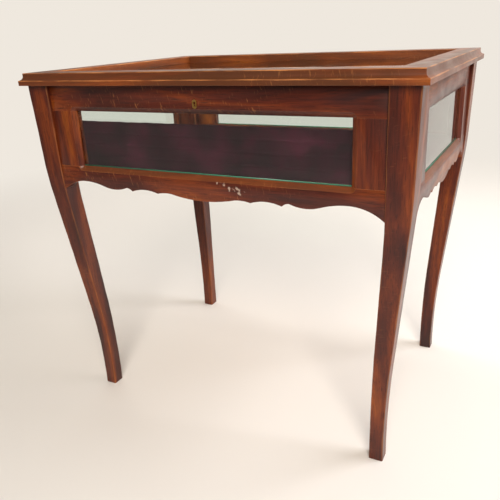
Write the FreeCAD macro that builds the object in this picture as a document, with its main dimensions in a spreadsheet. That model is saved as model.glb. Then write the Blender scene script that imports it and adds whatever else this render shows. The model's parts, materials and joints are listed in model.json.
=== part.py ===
import FreeCAD, Part
import math
import os

import Sketcher
from FreeCAD import Placement, Rotation, Vector

# Oak display table: a shallow glazed case on four sawn legs, with a hinged glass lid that locks.
# Millimetres. +Z is up, the front faces -Y, and the origin is on the floor under the middle.

doc = FreeCAD.newDocument("display_table")
sheet = doc.addObject("Spreadsheet::Sheet", "Sizes")

# Driving dimensions, one per row of the sheet.
DIMENSIONS = {
    # whole table
    "table_height": 750,
    "lid_width": 816,
    "lid_depth": 612,
    "lid_overhang": 12,
    # legs
    "post_size": 50,
    "post_taper": 4.5,
    "knee_level": 510,
    "knee_start": 560,
    "shin_top": 490,
    "shin_end": 220,
    "shin_top_inset": 9.5,
    "shin_end_inset": 36,
    "foot_inset": 44.5,
    "knee_bulge": 0.62,
    "shin_bulge": 3.3,
    "neck_level": 465,
    "neck_width": 52,
    "calf_level": 247,
    "calf_width": 66,
    "foot_width": 72,
    "neck_bulge": 0.22,
    "calf_bulge": 2.5,
    # sides of the case
    "panel_setback": 8,
    "rail_thickness": 22,
    "top_rail_height": 51,
    "opening_height": 112,
    "stile_width": 58,
    "rebate_width": 6,
    "glass_setback": 10,
    "glass_thickness": 3,
    "moulding_width": 9,
    "moulding_depth": 7,
    "moulding_corner": 10,
    "bead_round": 1.6,
    # mortise and tenon joints
    "tenon_thickness": 10,
    "tenon_length": 18,
    "tenon_offset": 6,
    "tenon_shoulder": 9,
    "stile_tenon_thickness": 7,
    "stile_tenon_offset": 8,
    "stile_tenon_length": 10,
    "stile_tenon_shoulder": 10,
    # scalloped lower edge: shares of the rail's half length, levels above the apron's end
    "arch_share": 0.824,
    "lobe_share": 0.682,
    "notch_share": 0.514,
    "outer_cusp_share": 0.474,
    "inner_cusp_share": 0.295,
    "lobe_end_share": 0.202,
    "arch_rise": 22,
    "lobe_rise": 14,
    "notch_rise": 15.5,
    "outer_cusp_rise": 9.5,
    "inner_cusp_rise": 10,
    "lobe_end_rise": 12,
    "cove_bulge": 5.7,
    "arch_bulge": 2,
    "lobe_bulge": 5.1,
    "notch_bulge": 1.5,
    "scallop_bulge": 5.3,
    "quirk_bulge": 1.5,
    "centre_bulge": 8,
    # base of the case
    "base_drop": 5,
    "base_thickness": 10,
    "velvet_thickness": 2,
    "bearer_size": 14,
    "base_clearance": 0.5,
    # lid
    "lid_thickness": 24,
    "lid_member_width": 51.5,
    "lid_band_height": 10,
    "lid_cove_height": 7.6,
    "lid_edge_setback": 7.5,
    "lid_cove_bulge": 2,
    "lid_rebate_width": 8,
    "lid_rebate_height": 7,
    # hinges
    "hinge_spacing": 500,
    "hinge_length": 60,
    "hinge_axis_back": 2,
    "leaf_thickness": 1.5,
    "leaf_reach": 26,
    "leaf_gap": 5.3,
    "knuckle_radius": 4.5,
    "knuckle_gap": 0.2,
    "knuckle_room": 1,
    "pin_radius": 2,
    "pin_clearance": 0.05,
    "hinge_screw_pitch": 22,
    "hinge_screw_back": 10,
    # screws
    "screw_head_radius": 3,
    "screw_head_height": 1.5,
    "screw_radius": 1.4,
    "screw_length": 14,
    # lock
    "lock_width": 44,
    "lock_height": 40,
    "lock_depth": 11,
    "lock_plate": 2,
    "lock_cap_thickness": 1.5,
    "lock_screw_inset": 5,
    "lock_screw_length": 17,
    "bolt_width": 18,
    "bolt_thickness": 4,
    "bolt_height": 32,
    "bolt_inset": 4,
    "bolt_clearance": 0.1,
    "bolt_throw": 6,
    "talon_width": 7,
    "talon_height": 6,
    "keyhole_drop": 31,
    "keyhole_radius": 2.2,
    "keyhole_slot": 2,
    "keyhole_length": 6,
    "escutcheon_width": 9,
    "escutcheon_height": 16,
    "escutcheon_thickness": 1,
    "escutcheon_pin_radius": 0.6,
    "escutcheon_pin_reach": 6.2,
    "escutcheon_pin_length": 6,
    "strike_slack": 1,
    "strike_screw_spacing": 34,
}


class Size:
    """A length that knows its number and the expression that reads it from the sheet."""

    def __init__(self, number, text):
        self.number = float(number)
        self.text = text

    def joined(self, other, sign, number):
        return Size(number, f"({self.text} {sign} {other.text})")

    def __add__(self, other):
        other = as_size(other)
        return self.joined(other, "+", self.number + other.number)

    def __radd__(self, other):
        return as_size(other) + self

    def __sub__(self, other):
        other = as_size(other)
        return self.joined(other, "-", self.number - other.number)

    def __rsub__(self, other):
        return as_size(other) - self

    def __mul__(self, other):
        other = as_size(other)
        return self.joined(other, "*", self.number * other.number)

    def __rmul__(self, other):
        return as_size(other) * self

    def __truediv__(self, other):
        other = as_size(other)
        return self.joined(other, "/", self.number / other.number)

    def __neg__(self):
        return 0 - self


def as_size(thing):
    """Plain numbers stand for themselves in an expression."""
    if isinstance(thing, Size):
        return thing
    return Size(thing, f"({float(thing):.6g})")


class Sizes:
    """The sheet's cells as named sizes, such as sizes.lid_width."""


sizes = Sizes()
for row, (alias, number) in enumerate(DIMENSIONS.items(), start=1):
    sheet.set(f"A{row}", alias)
    sheet.set(f"B{row}", str(number))
    sheet.setAlias(f"B{row}", alias)
    setattr(sizes, alias, Size(number, f"Sizes.{alias}"))
doc.recompute()

nodes = []


def bind(thing, prop, length):
    thing.setExpression(prop, as_size(length).text)


def place(thing, spot, rotation=None):
    """Puts an object at a spot whose coordinates read the sheet."""
    thing.Placement = Placement(Vector(), rotation or Rotation())
    for axis, length in zip("xyz", spot):
        bind(thing, f"Placement.Base.{axis}", length)
    return thing


def node(label, thing):
    """Names the object as one of the table's pieces."""
    thing.Label = label
    nodes.append(thing)
    return thing


def block(name, low, high):
    """A box between two corners."""
    box = doc.addObject("Part::Box", name)
    for prop, start, end in zip(("Length", "Width", "Height"), low, high):
        bind(box, prop, end - start)
    return place(box, low)


X_WAY = Vector(1, 0, 0)
Y_WAY = Vector(0, 1, 0)
Z_WAY = Vector(0, 0, 1)
ALONG_X = Rotation(Y_WAY, 90)
ALONG_Y = Rotation(X_WAY, -90)
ALONG_Z = Rotation()
DOWN_Z = Rotation(X_WAY, 180)
OUT_OF_FRONT = Rotation(X_WAY, 90)

# How far an arc stands off its chord, in radii: a quarter circle, and a round end, which stops just
# short of a half circle, because a full one would leave its side open.
QUARTER_BULGE = 1 - math.sqrt(0.5)
ROUND_END = 0.98


def rod(name, radius, length, spot, rotation):
    """A cylinder that starts at a spot and runs along its rotated axis."""
    cylinder = doc.addObject("Part::Cylinder", name)
    bind(cylinder, "Radius", radius)
    bind(cylinder, "Height", length)
    return place(cylinder, spot, rotation)


def fuse(name, pieces):
    union = doc.addObject("Part::MultiFuse", name)
    union.Shapes = pieces
    union.Refine = True
    return union


def cut(name, base, tools):
    """The base less its tools, which may be one object or several."""
    less = doc.addObject("Part::Cut", name)
    less.Base = base
    less.Tool = tools[0] if len(tools) == 1 else fuse(name + "_tools", tools)
    less.Refine = True
    return less


def common(name, first, second):
    overlap = doc.addObject("Part::Common", name)
    overlap.Base = first
    overlap.Tool = second
    overlap.Refine = True
    return overlap


def group(name, pieces):
    """Separate solids that share one node."""
    bundle = doc.addObject("Part::Compound", name)
    bundle.Links = pieces
    return bundle


ON_XY = Rotation()
ON_XZ = Rotation(X_WAY, 90)
ON_YZ = Rotation(0.5, 0.5, 0.5, 0.5)


def bulge_radius(start, end, bulge):
    """Radius of the arc whose middle stands off its chord by the bulge."""
    run = end[0] - start[0]
    climb = end[1] - start[1]
    return ((run * run + climb * climb) / 4 + bulge * bulge) / (2 * bulge)


def outline(name, rotation, spot, steps):
    """A closed sketch of lines and arcs, whose corners and radii read the sheet.

    A step is (x, y), a straight run to that corner, or (x, y, bulge, side), an arc to it, whose
    middle stands off the chord to the left of the way along (side 1) or to the right (side -1).
    """
    sketch = doc.addObject("Sketcher::SketchObject", name)
    place(sketch, spot, rotation)
    corners = [tuple(as_size(length) for length in step[:2]) for step in steps]
    count = len(steps)
    starts = []
    ends = []
    for index, step in enumerate(steps):
        start = corners[index - 1]
        end = corners[index]
        first = Vector(start[0].number, start[1].number, 0)
        last = Vector(end[0].number, end[1].number, 0)
        if len(step) == 2:
            sketch.addGeometry(Part.LineSegment(first, last), False)
            starts.append(1)
            ends.append(2)
            continue
        bulge = as_size(step[2])
        side = step[3]
        radius = bulge_radius(start, end, bulge)
        chord = last - first
        left = Vector(-chord.y, chord.x, 0).normalize()
        centre = (first + last) / 2 + left * (side * (bulge.number - radius.number))
        begin, finish = (last, first) if side > 0 else (first, last)
        begin_angle = math.atan2(begin.y - centre.y, begin.x - centre.x)
        finish_angle = math.atan2(finish.y - centre.y, finish.x - centre.x)
        finish_angle += math.tau if finish_angle < begin_angle else 0
        circle = Part.Circle(centre, Z_WAY, radius.number)
        sketch.addGeometry(Part.ArcOfCircle(circle, begin_angle, finish_angle), False)
        starts.append(2 if side > 0 else 1)
        ends.append(1 if side > 0 else 2)
        mark = sketch.addConstraint(Sketcher.Constraint("Radius", index, radius.number))
        sketch.renameConstraint(mark, f"radius_{index}")
        bind(sketch, f"Constraints.radius_{index}", radius)
    for index in range(count):
        after = (index + 1) % count
        sketch.addConstraint(Sketcher.Constraint("Coincident", index, ends[index], after, starts[after]))
        for kind, length in zip(("DistanceX", "DistanceY"), corners[index]):
            mark = sketch.addConstraint(Sketcher.Constraint(kind, index, ends[index], length.number))
            sketch.renameConstraint(mark, f"{kind}_{index}")
            bind(sketch, f"Constraints.{kind}_{index}", length)
    return sketch


def extrude(name, sketch, direction, length):
    solid = doc.addObject("Part::Extrusion", name)
    solid.Base = sketch
    solid.DirMode = "Custom"
    solid.Dir = direction
    solid.Solid = True
    bind(solid, "LengthFwd", length)
    return solid


# Levels and half sizes that several pieces share.
lid_bottom = sizes.table_height - sizes.lid_thickness
opening_top = lid_bottom - sizes.top_rail_height
opening_bottom = opening_top - sizes.opening_height
case_half_width = sizes.lid_width / 2 - sizes.lid_overhang
case_half_depth = sizes.lid_depth / 2 - sizes.lid_overhang
rail_back = sizes.panel_setback + sizes.rail_thickness
inside_half_width = case_half_width - rail_back
inside_half_depth = case_half_depth - rail_back
tenon_front = sizes.tenon_offset
tenon_back = sizes.tenon_offset + sizes.tenon_thickness
top_tenon = (opening_top + sizes.tenon_shoulder, lid_bottom - sizes.tenon_shoulder)
bottom_tenon = (sizes.knee_level + sizes.tenon_shoulder, opening_bottom - sizes.tenon_shoulder)

# Each side of the case and lid is drawn facing front, then turned about the middle of the table.
SIDES = {
    "front": (0, ("left", "right")),
    "right": (90, ("front", "back")),
    "back": (180, ("right", "left")),
    "left": (270, ("back", "front")),
}


def turned(angle):
    return Rotation(Z_WAY, angle)


def side_spot(angle, reach):
    """The middle of a side, at a distance from the table's middle."""
    return {
        0: (0, -reach, 0),
        90: (reach, 0, 0),
        180: (0, reach, 0),
        270: (-reach, 0, 0),
    }[angle]


def leg(name, corner, angle):
    """A leg sawn to one template on both outer faces, mortised for the rails of two sides.

    Its outer corner is the sketch's origin. The template's outer line leans in a little past the
    case, turns in further at the knee and straightens at the foot, and its inner line carries on
    from the apron and follows.
    """
    template = [
        (0, lid_bottom),
        (sizes.post_taper, sizes.knee_start),
        (sizes.shin_top_inset, sizes.shin_top, sizes.knee_bulge, -1),
        (sizes.shin_end_inset, sizes.shin_end),
        (sizes.foot_inset, 0, sizes.shin_bulge, 1),
        (sizes.foot_width, 0),
        (sizes.calf_width, sizes.calf_level, sizes.calf_bulge, -1),
        (sizes.neck_width, sizes.neck_level),
        (sizes.post_size, sizes.knee_level, sizes.neck_bulge, 1),
        (sizes.post_size, lid_bottom),
    ]
    across = outline(name + "_template_x", ON_XZ, (0, 0, 0), template)
    along = outline(name + "_template_y", ON_YZ, (0, 0, 0), template)
    sawn_x = extrude(name + "_sawn_x", across, Y_WAY, 2 * sizes.post_size)
    sawn_y = extrude(name + "_sawn_y", along, X_WAY, 2 * sizes.post_size)
    sawn = common(name + "_sawn", sawn_x, sawn_y)
    deep = (sizes.post_size - sizes.tenon_length, sizes.post_size)
    thick = (sizes.panel_setback + tenon_front, sizes.panel_setback + tenon_back)
    mortises = []
    for mark, tall in (("top", top_tenon), ("bottom", bottom_tenon)):
        low_x = (deep[0], thick[0], tall[0])
        high_x = (deep[1], thick[1], tall[1])
        low_y = (thick[0], deep[0], tall[0])
        high_y = (thick[1], deep[1], tall[1])
        mortises.append(block(f"{name}_{mark}_mortise_x", low_x, high_x))
        mortises.append(block(f"{name}_{mark}_mortise_y", low_y, high_y))
    return node(name, place(cut(name, sawn, mortises), corner, turned(angle)))


def tenons(name, half, tall):
    """A tenon on each end of a rail."""
    reach = half + sizes.tenon_length
    pair = []
    for mark, start, end in (("a", -reach, -half), ("b", half, reach)):
        low = (start, tenon_front, tall[0])
        high = (end, tenon_back, tall[1])
        pair.append(block(f"{name}_tenon_{mark}", low, high))
    return pair


def apron_steps(half):
    """The scalloped lower edge, from the left leg to the right one.

    Each half is a cove up from the leg, an arch, a lobe, a notch, a scallop between two cusps and
    a quirk, and one long lobe joins the halves in the middle.
    """
    level = sizes.knee_level
    stations = [
        (sizes.arch_share, sizes.arch_rise),
        (sizes.lobe_share, sizes.lobe_rise),
        (sizes.notch_share, sizes.notch_rise),
        (sizes.outer_cusp_share, sizes.outer_cusp_rise),
        (sizes.inner_cusp_share, sizes.inner_cusp_rise),
        (sizes.lobe_end_share, sizes.lobe_end_rise),
    ]
    bends = [
        (sizes.cove_bulge, 1),
        (sizes.arch_bulge, 1),
        (sizes.lobe_bulge, -1),
        (sizes.notch_bulge, 1),
        (sizes.scallop_bulge, 1),
        (sizes.quirk_bulge, 1),
    ]
    steps = [(-half, level)]
    for (share, rise), bend in zip(stations, bends):
        steps.append((-half * share, level + rise, *bend))
    corners = [(half * share, level + rise) for share, rise in reversed(stations)]
    corners.append((half, level))
    for corner, bend in zip(corners, [(sizes.centre_bulge, -1)] + bends[::-1]):
        steps.append((*corner, *bend))
    return steps


def glazing_cutters(name, half_opening):
    """What is cut away round an opening: a moulded edge in front and a glass rebate behind."""
    middle = (opening_top + opening_bottom) / 2
    wide = half_opening + sizes.moulding_width
    tall = sizes.opening_height / 2 + sizes.moulding_width
    corner = sizes.moulding_corner
    bulge = corner * QUARTER_BULGE
    steps = [
        (wide - corner, -tall),
        (wide, corner - tall, bulge, -1),
        (wide, tall - corner),
        (wide - corner, tall, bulge, -1),
        (corner - wide, tall),
        (-wide, tall - corner, bulge, -1),
        (-wide, corner - tall),
        (corner - wide, -tall, bulge, -1),
    ]
    edge = outline(name + "_edge_outline", ON_XZ, (0, 0, middle), steps)
    moulding = extrude(name + "_moulding", edge, Y_WAY, sizes.moulding_depth)
    slope = math.degrees(math.atan2(sizes.moulding_width.number, sizes.moulding_depth.number))
    moulding.TaperAngle = -slope
    rebate_half = half_opening + sizes.rebate_width
    low = (-rebate_half, sizes.glass_setback, opening_bottom - sizes.rebate_width)
    high = (rebate_half, sizes.rail_thickness, opening_top + sizes.rebate_width)
    return moulding, block(name + "_rebate", low, high)


def bead_section(name, rotation, spot, turn, side):
    """A glazing bead's section, drawn as depth and width, with its inner arris rounded.

    turn carries (depth, width) to the sketch's own axes, and side is 1 where that mirrors it.
    """
    deep = sizes.rail_thickness - sizes.glass_setback - sizes.glass_thickness
    wide = sizes.rebate_width
    round_off = sizes.bead_round
    steps = [
        turn(0, 0),
        turn(deep, 0),
        turn(deep, wide - round_off),
        (*turn(deep - round_off, wide), round_off * QUARTER_BULGE, side),
        turn(0, wide),
    ]
    return outline(name, rotation, spot, steps)


def pane_beads(name, half_opening):
    """Four strips that hold a pane in its rebate from inside."""
    wide = sizes.rebate_width
    front = sizes.glass_setback + sizes.glass_thickness
    half = half_opening + wide
    low = opening_bottom - wide
    high = opening_top + wide
    tall = sizes.opening_height
    runs = {
        "foot": (ON_YZ, (-half, front, low), lambda d, w: (d, w), -1, X_WAY, 2 * half),
        "head": (ON_YZ, (-half, front, high), lambda d, w: (d, -w), 1, X_WAY, 2 * half),
        "left": (ON_XY, (-half, front, opening_bottom), lambda d, w: (w, d), 1, Z_WAY, tall),
        "right": (ON_XY, (half, front, opening_bottom), lambda d, w: (-w, d), -1, Z_WAY, tall),
    }
    strips = []
    for mark, (rotation, spot, turn, side, way, length) in runs.items():
        section = bead_section(f"{name}_{mark}_section", rotation, spot, turn, side)
        strips.append(extrude(f"{name}_{mark}", section, way, length))
    return group(name, strips)


def glazed_side(side, half, reach, own_cuts):
    """One side of the case: two rails, two stiles, a pane and its beads."""
    angle, ends = SIDES[side]
    spot = side_spot(angle, reach - sizes.panel_setback)
    half_opening = half - sizes.stile_width
    moulding, rebate = glazing_cutters(side, half_opening)
    cutters = [moulding, rebate]
    thick = sizes.rail_thickness

    stile_sockets = []
    stiles = []
    for end, sign in zip(ends, (-1, 1)):
        name = f"{side}_stile_{end}"
        near, far = sorted((sign * half, sign * half_opening), key=lambda length: length.number)
        post = block(name + "_post", (near, 0, opening_bottom), (far, thick, opening_top))
        inner = near + sizes.stile_tenon_shoulder
        outer = far - sizes.stile_tenon_shoulder
        low = (inner, sizes.stile_tenon_offset, opening_bottom - sizes.stile_tenon_length)
        high = (
            outer,
            sizes.stile_tenon_offset + sizes.stile_tenon_thickness,
            opening_top + sizes.stile_tenon_length,
        )
        tongue = block(name + "_tongue", low, high)
        stile_sockets.append(tongue)
        whole = fuse(name + "_blank", [post, tongue])
        stiles.append((name, cut(name, whole, cutters)))

    top_name = f"{side}_top_rail"
    bar = block(top_name + "_bar", (-half, 0, opening_top), (half, thick, lid_bottom))
    top_blank = fuse(top_name + "_blank", [bar] + tenons(top_name, half, top_tenon))
    top_rail = cut(top_name + "_worked", top_blank, cutters + stile_sockets)
    place(top_rail, spot, turned(angle))
    node(top_name, cut(top_name, top_rail, own_cuts) if own_cuts else top_rail)

    low_name = f"{side}_bottom_rail"
    steps = [(-half, opening_bottom)] + apron_steps(half) + [(half, opening_bottom)]
    apron_outline = outline(low_name + "_outline", ON_XZ, (0, 0, 0), steps)
    apron = extrude(low_name + "_apron", apron_outline, Y_WAY, thick)
    low_blank = fuse(low_name + "_blank", [apron] + tenons(low_name, half, bottom_tenon))
    bottom_rail = cut(low_name, low_blank, cutters + stile_sockets)

    pane_low = (
        -half_opening - sizes.rebate_width,
        sizes.glass_setback,
        opening_bottom - sizes.rebate_width,
    )
    pane_high = (
        half_opening + sizes.rebate_width,
        sizes.glass_setback + sizes.glass_thickness,
        opening_top + sizes.rebate_width,
    )
    pane = block(f"{side}_pane", pane_low, pane_high)
    beads = pane_beads(f"{side}_pane_beads", half_opening)

    for name, piece in [(low_name, bottom_rail), *stiles]:
        node(name, place(piece, spot, turned(angle)))
    pane_spot = pane_place(angle, reach - sizes.panel_setback, pane_low)
    node(f"{side}_pane", place(pane, pane_spot, turned(angle)))
    node(f"{side}_pane_beads", place(beads, spot, turned(angle)))


def pane_place(angle, reach, low):
    """A pane is one box, so its own low corner is turned with its side."""
    x, y, z = low
    return {
        0: (x, y - reach, z),
        90: (reach - y, x, z),
        180: (-x, reach - y, z),
        270: (y - reach, -x, z),
    }[angle]


def screw(name, spot, rotation, length):
    """A countersunk screw whose head starts at the spot and whose shank runs along its axis."""
    head = doc.addObject("Part::Cone", name + "_head")
    bind(head, "Radius1", sizes.screw_head_radius)
    bind(head, "Radius2", sizes.screw_radius)
    bind(head, "Height", sizes.screw_head_height)
    place(head, spot, rotation)
    shank = rod(name + "_shank", sizes.screw_radius, length, spot, rotation)
    return fuse(name, [head, shank])


# Hinges: each has a leaf let into the back rail, a leaf let into the lid and a loose pin.
hinge_y = case_half_depth + sizes.hinge_axis_back
hinge_z = lid_bottom
leaf_front = hinge_y - sizes.leaf_reach
HINGES = {"left": -1, "right": 1}
case_screws = []
lid_screws = []
case_leaves = []
lid_leaves = []
pins = []
rail_recesses = []
lid_recesses = []
for side, sign in HINGES.items():
    name = f"hinge_{side}"
    middle = sign * sizes.hinge_spacing / 2
    half = sizes.hinge_length / 2
    third = sizes.hinge_length / 6
    plate_end = hinge_y - sizes.leaf_gap
    case_low = hinge_z - sizes.leaf_thickness
    lid_high = hinge_z + sizes.leaf_thickness

    start_x = middle - half
    end_x = middle + half
    case_plate = block(name + "_case_plate", (start_x, leaf_front, case_low), (end_x, plate_end, hinge_z))
    lid_plate = block(name + "_lid_plate", (start_x, leaf_front, hinge_z), (end_x, plate_end, lid_high))
    rail_recesses.append(case_plate)
    lid_recesses.append(lid_plate)
    room = sizes.knuckle_radius + sizes.knuckle_room
    groove_low = (start_x - sizes.knuckle_room, hinge_y - room, hinge_z)
    groove_high = (end_x + sizes.knuckle_room, hinge_y + room, hinge_z + room)
    lid_recesses.append(block(name + "_knuckle_groove", groove_low, groove_high))

    case_pieces = [case_plate]
    for mark, low, high in (("a", -half, -third - sizes.knuckle_gap), ("b", third + sizes.knuckle_gap, half)):
        tongue_low = (middle + low, leaf_front, case_low)
        tongue_high = (middle + high, hinge_y, hinge_z)
        knuckle_spot = (middle + low, hinge_y, hinge_z)
        knuckle_name = f"{name}_case_knuckle_{mark}"
        case_pieces.append(block(f"{name}_case_tongue_{mark}", tongue_low, tongue_high))
        case_pieces.append(rod(knuckle_name, sizes.knuckle_radius, high - low, knuckle_spot, ALONG_X))
    tongue_low = (middle - third, leaf_front, hinge_z)
    tongue_high = (middle + third, hinge_y, lid_high)
    lid_knuckle_spot = (middle - third, hinge_y, hinge_z)
    lid_pieces = [
        lid_plate,
        block(name + "_lid_tongue", tongue_low, tongue_high),
        rod(name + "_lid_knuckle", sizes.knuckle_radius, 2 * third, lid_knuckle_spot, ALONG_X),
    ]
    pin_start = (start_x, hinge_y, hinge_z)
    pin = rod(name + "_pin_rod", sizes.pin_radius, sizes.hinge_length, pin_start, ALONG_X)
    bore_radius = sizes.pin_radius + sizes.pin_clearance
    bore = rod(name + "_bore", bore_radius, sizes.hinge_length, pin_start, ALONG_X)
    pins.append((name + "_pin", pin))

    screw_y = leaf_front + sizes.hinge_screw_back
    own_case_screws = []
    own_lid_screws = []
    for step in (-1, 0, 1):
        x = middle + step * sizes.hinge_screw_pitch
        spot = (x, screw_y, hinge_z)
        own_case_screws.append(screw(f"{name}_case_screw_{step + 2}", spot, DOWN_Z, sizes.screw_length))
        own_lid_screws.append(screw(f"{name}_lid_screw_{step + 2}", spot, ALONG_Z, sizes.screw_length))
    case_screws += own_case_screws
    lid_screws += own_lid_screws
    case_blank = fuse(f"{name}_case_leaf_blank", case_pieces)
    lid_blank = fuse(f"{name}_lid_leaf_blank", lid_pieces)
    case_leaf = cut(f"{name}_case_leaf", case_blank, [pin] + own_case_screws)
    lid_leaf = cut(f"{name}_lid_leaf", lid_blank, [bore] + own_lid_screws)
    case_leaves.append((f"{name}_case_leaf", case_leaf))
    lid_leaves.append((f"{name}_lid_leaf", lid_leaf))

for name, piece in case_leaves + lid_leaves + pins:
    node(name, piece)
node("hinge_case_screws", group("hinge_case_screws", case_screws))
node("hinge_lid_screws", group("hinge_lid_screws", lid_screws))

# Lock: a half-mortise case in the back of the front rail, whose bolt rises into the lid.
lock_front = -inside_half_depth - sizes.lock_depth
lock_back = -inside_half_depth
lock_bottom = lid_bottom - sizes.lock_height
lock_half = sizes.lock_width / 2
cap_front = lock_back - sizes.lock_cap_thickness
keyhole_z = lid_bottom - sizes.keyhole_drop
face_y = sizes.panel_setback - case_half_depth
bolt_front = lock_front + sizes.bolt_inset
bolt_half = sizes.bolt_width / 2

keyhole_reach = sizes.rail_thickness / 2 + sizes.lock_plate + sizes.escutcheon_thickness
keyhole_start = face_y - sizes.escutcheon_thickness
keyhole_spot = (0, keyhole_start, keyhole_z)
keyhole_round = rod("keyhole_round", sizes.keyhole_radius, keyhole_reach, keyhole_spot, ALONG_Y)
keyhole_slot = block(
    "keyhole_slot",
    (-sizes.keyhole_slot / 2, keyhole_start, keyhole_z - sizes.keyhole_length),
    (sizes.keyhole_slot / 2, keyhole_start + keyhole_reach, keyhole_z),
)
keyhole = fuse("keyhole", [keyhole_round, keyhole_slot])

lock_shell = block("lock_shell", (-lock_half, lock_front, lock_bottom), (lock_half, cap_front, lid_bottom))
cavity = block(
    "lock_cavity",
    (sizes.lock_plate - lock_half, lock_front + sizes.lock_plate, lock_bottom + sizes.lock_plate),
    (lock_half - sizes.lock_plate, cap_front, lid_bottom - sizes.lock_plate),
)
bolt_slot = block(
    "bolt_slot",
    (-bolt_half - sizes.bolt_clearance, bolt_front - sizes.bolt_clearance, lock_bottom + sizes.lock_plate),
    (
        bolt_half + sizes.bolt_clearance,
        bolt_front + sizes.bolt_thickness + sizes.bolt_clearance,
        lid_bottom,
    ),
)
screw_x = lock_half - sizes.lock_screw_inset
SCREW_COLUMNS = {"left": -screw_x, "right": screw_x}
SCREW_ROWS = {"low": lock_bottom + sizes.lock_screw_inset, "high": lid_bottom - sizes.lock_screw_inset}
lock_screws = []
for column, x in SCREW_COLUMNS.items():
    for row, z in SCREW_ROWS.items():
        name = f"lock_screw_{column}_{row}"
        lock_screws.append(screw(name, (x, lock_back, z), OUT_OF_FRONT, sizes.lock_screw_length))
lock_tools = [cavity, bolt_slot, keyhole] + lock_screws
node("lock_case", cut("lock_case", lock_shell, lock_tools))
cap_plate = block("lock_cap_plate", (-lock_half, cap_front, lock_bottom), (lock_half, lock_back, lid_bottom))
node("lock_cap", cut("lock_cap", cap_plate, lock_screws))
node("lock_screws", group("lock_screws", lock_screws))

bolt_bottom = lid_bottom - sizes.bolt_height
bolt_back = bolt_front + sizes.bolt_thickness
bolt_bar = block("lock_bolt_bar", (-bolt_half, bolt_front, bolt_bottom), (bolt_half, bolt_back, lid_bottom))
talon_half = sizes.talon_width / 2
talon_top = bolt_bottom + sizes.talon_height
talon = block("lock_bolt_talon", (-talon_half, bolt_front, bolt_bottom), (talon_half, bolt_back, talon_top))
node("lock_bolt", cut("lock_bolt", bolt_bar, [talon]))

# Escutcheon: an oval plate round the keyhole, held by two pins.
plate_front = face_y - sizes.escutcheon_thickness
plate_middle = keyhole_z - sizes.keyhole_radius
plate_half = sizes.escutcheon_width / 2
straight_half = sizes.escutcheon_height / 2 - plate_half
oval = outline(
    "escutcheon_outline",
    ON_XZ,
    (0, plate_front, plate_middle),
    [
        (plate_half, -straight_half, plate_half * ROUND_END, -1),
        (plate_half, straight_half),
        (-plate_half, straight_half, plate_half * ROUND_END, -1),
        (-plate_half, -straight_half),
    ],
)
escutcheon_plate = extrude("escutcheon_plate", oval, Y_WAY, sizes.escutcheon_thickness)
escutcheon_pins = []
for mark, sign in (("low", -1), ("high", 1)):
    spot = (0, plate_front, plate_middle + sign * sizes.escutcheon_pin_reach)
    escutcheon_pins.append(
        rod(f"escutcheon_pin_{mark}", sizes.escutcheon_pin_radius, sizes.escutcheon_pin_length, spot, ALONG_Y)
    )
node("escutcheon", cut("escutcheon", escutcheon_plate, [keyhole] + escutcheon_pins))
node("escutcheon_pins", group("escutcheon_pins", escutcheon_pins))

# Strike plate: let into the underside of the lid over the bolt.
strike_top = lid_bottom + sizes.leaf_thickness
slot_half = bolt_half + sizes.strike_slack
slot_low = (-slot_half, bolt_front - sizes.strike_slack, lid_bottom)
slot_top = lid_bottom + sizes.bolt_throw + 2 * sizes.strike_slack
slot_high = (slot_half, bolt_back + sizes.strike_slack, slot_top)
bolt_mortise = block("bolt_mortise", slot_low, slot_high)
strike_low = (-lock_half, lock_front, lid_bottom)
strike_high = (lock_half, lock_back, strike_top)
strike_blank = block("strike_blank", strike_low, strike_high)
strike_screws = []
strike_middle = (lock_front + lock_back) / 2
for mark, sign in (("left", -1), ("right", 1)):
    spot = (sign * sizes.strike_screw_spacing / 2, strike_middle, lid_bottom)
    strike_screws.append(screw(f"strike_screw_{mark}", spot, ALONG_Z, sizes.screw_length))
node("strike_plate", cut("strike_plate", strike_blank, [bolt_mortise] + strike_screws))
node("strike_screws", group("strike_screws", strike_screws))

# Legs, one at each corner of the case.
CORNERS = {
    "front_left": (-case_half_width, -case_half_depth, 0),
    "front_right": (case_half_width, -case_half_depth, 90),
    "back_right": (case_half_width, case_half_depth, 180),
    "back_left": (-case_half_width, case_half_depth, 270),
}
for corner, (x, y, angle) in CORNERS.items():
    leg(f"leg_{corner}", (x, y, 0), angle)

# Sides of the case.
half_long = case_half_width - sizes.post_size
half_short = case_half_depth - sizes.post_size
mortise_low = (-lock_half, lock_front, lock_bottom)
mortise_high = (lock_half, lock_back, lid_bottom)
lock_mortise = block("lock_mortise", mortise_low, mortise_high)
glazed_side("front", half_long, case_half_depth, [lock_mortise, keyhole] + lock_screws + escutcheon_pins)
glazed_side("right", half_short, case_half_width, [])
glazed_side("back", half_long, case_half_depth, rail_recesses + case_screws)
glazed_side("left", half_short, case_half_width, [])

# Base of the case: a board on four bearers, lined with velvet and notched round the legs.
base_top = opening_bottom - sizes.base_drop
board_low = base_top - sizes.base_thickness
velvet_top = base_top + sizes.velvet_thickness
notch_x = case_half_width - sizes.post_size - sizes.base_clearance
notch_y = case_half_depth - sizes.post_size - sizes.base_clearance


def notched_board(name, low, high):
    """A board that fills the inside of the case and clears the legs at its corners."""
    corner_low = (-inside_half_width, -inside_half_depth, low)
    corner_high = (inside_half_width, inside_half_depth, high)
    board = block(name + "_board", corner_low, corner_high)
    columns = {"left": (-inside_half_width, -notch_x), "right": (notch_x, inside_half_width)}
    rows = {"front": (-inside_half_depth, -notch_y), "back": (notch_y, inside_half_depth)}
    notches = []
    for column, (left, right) in columns.items():
        for row, (front, back) in rows.items():
            notches.append(block(f"{name}_notch_{column}_{row}", (left, front, low), (right, back, high)))
    return node(name, cut(name, board, notches))


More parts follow.
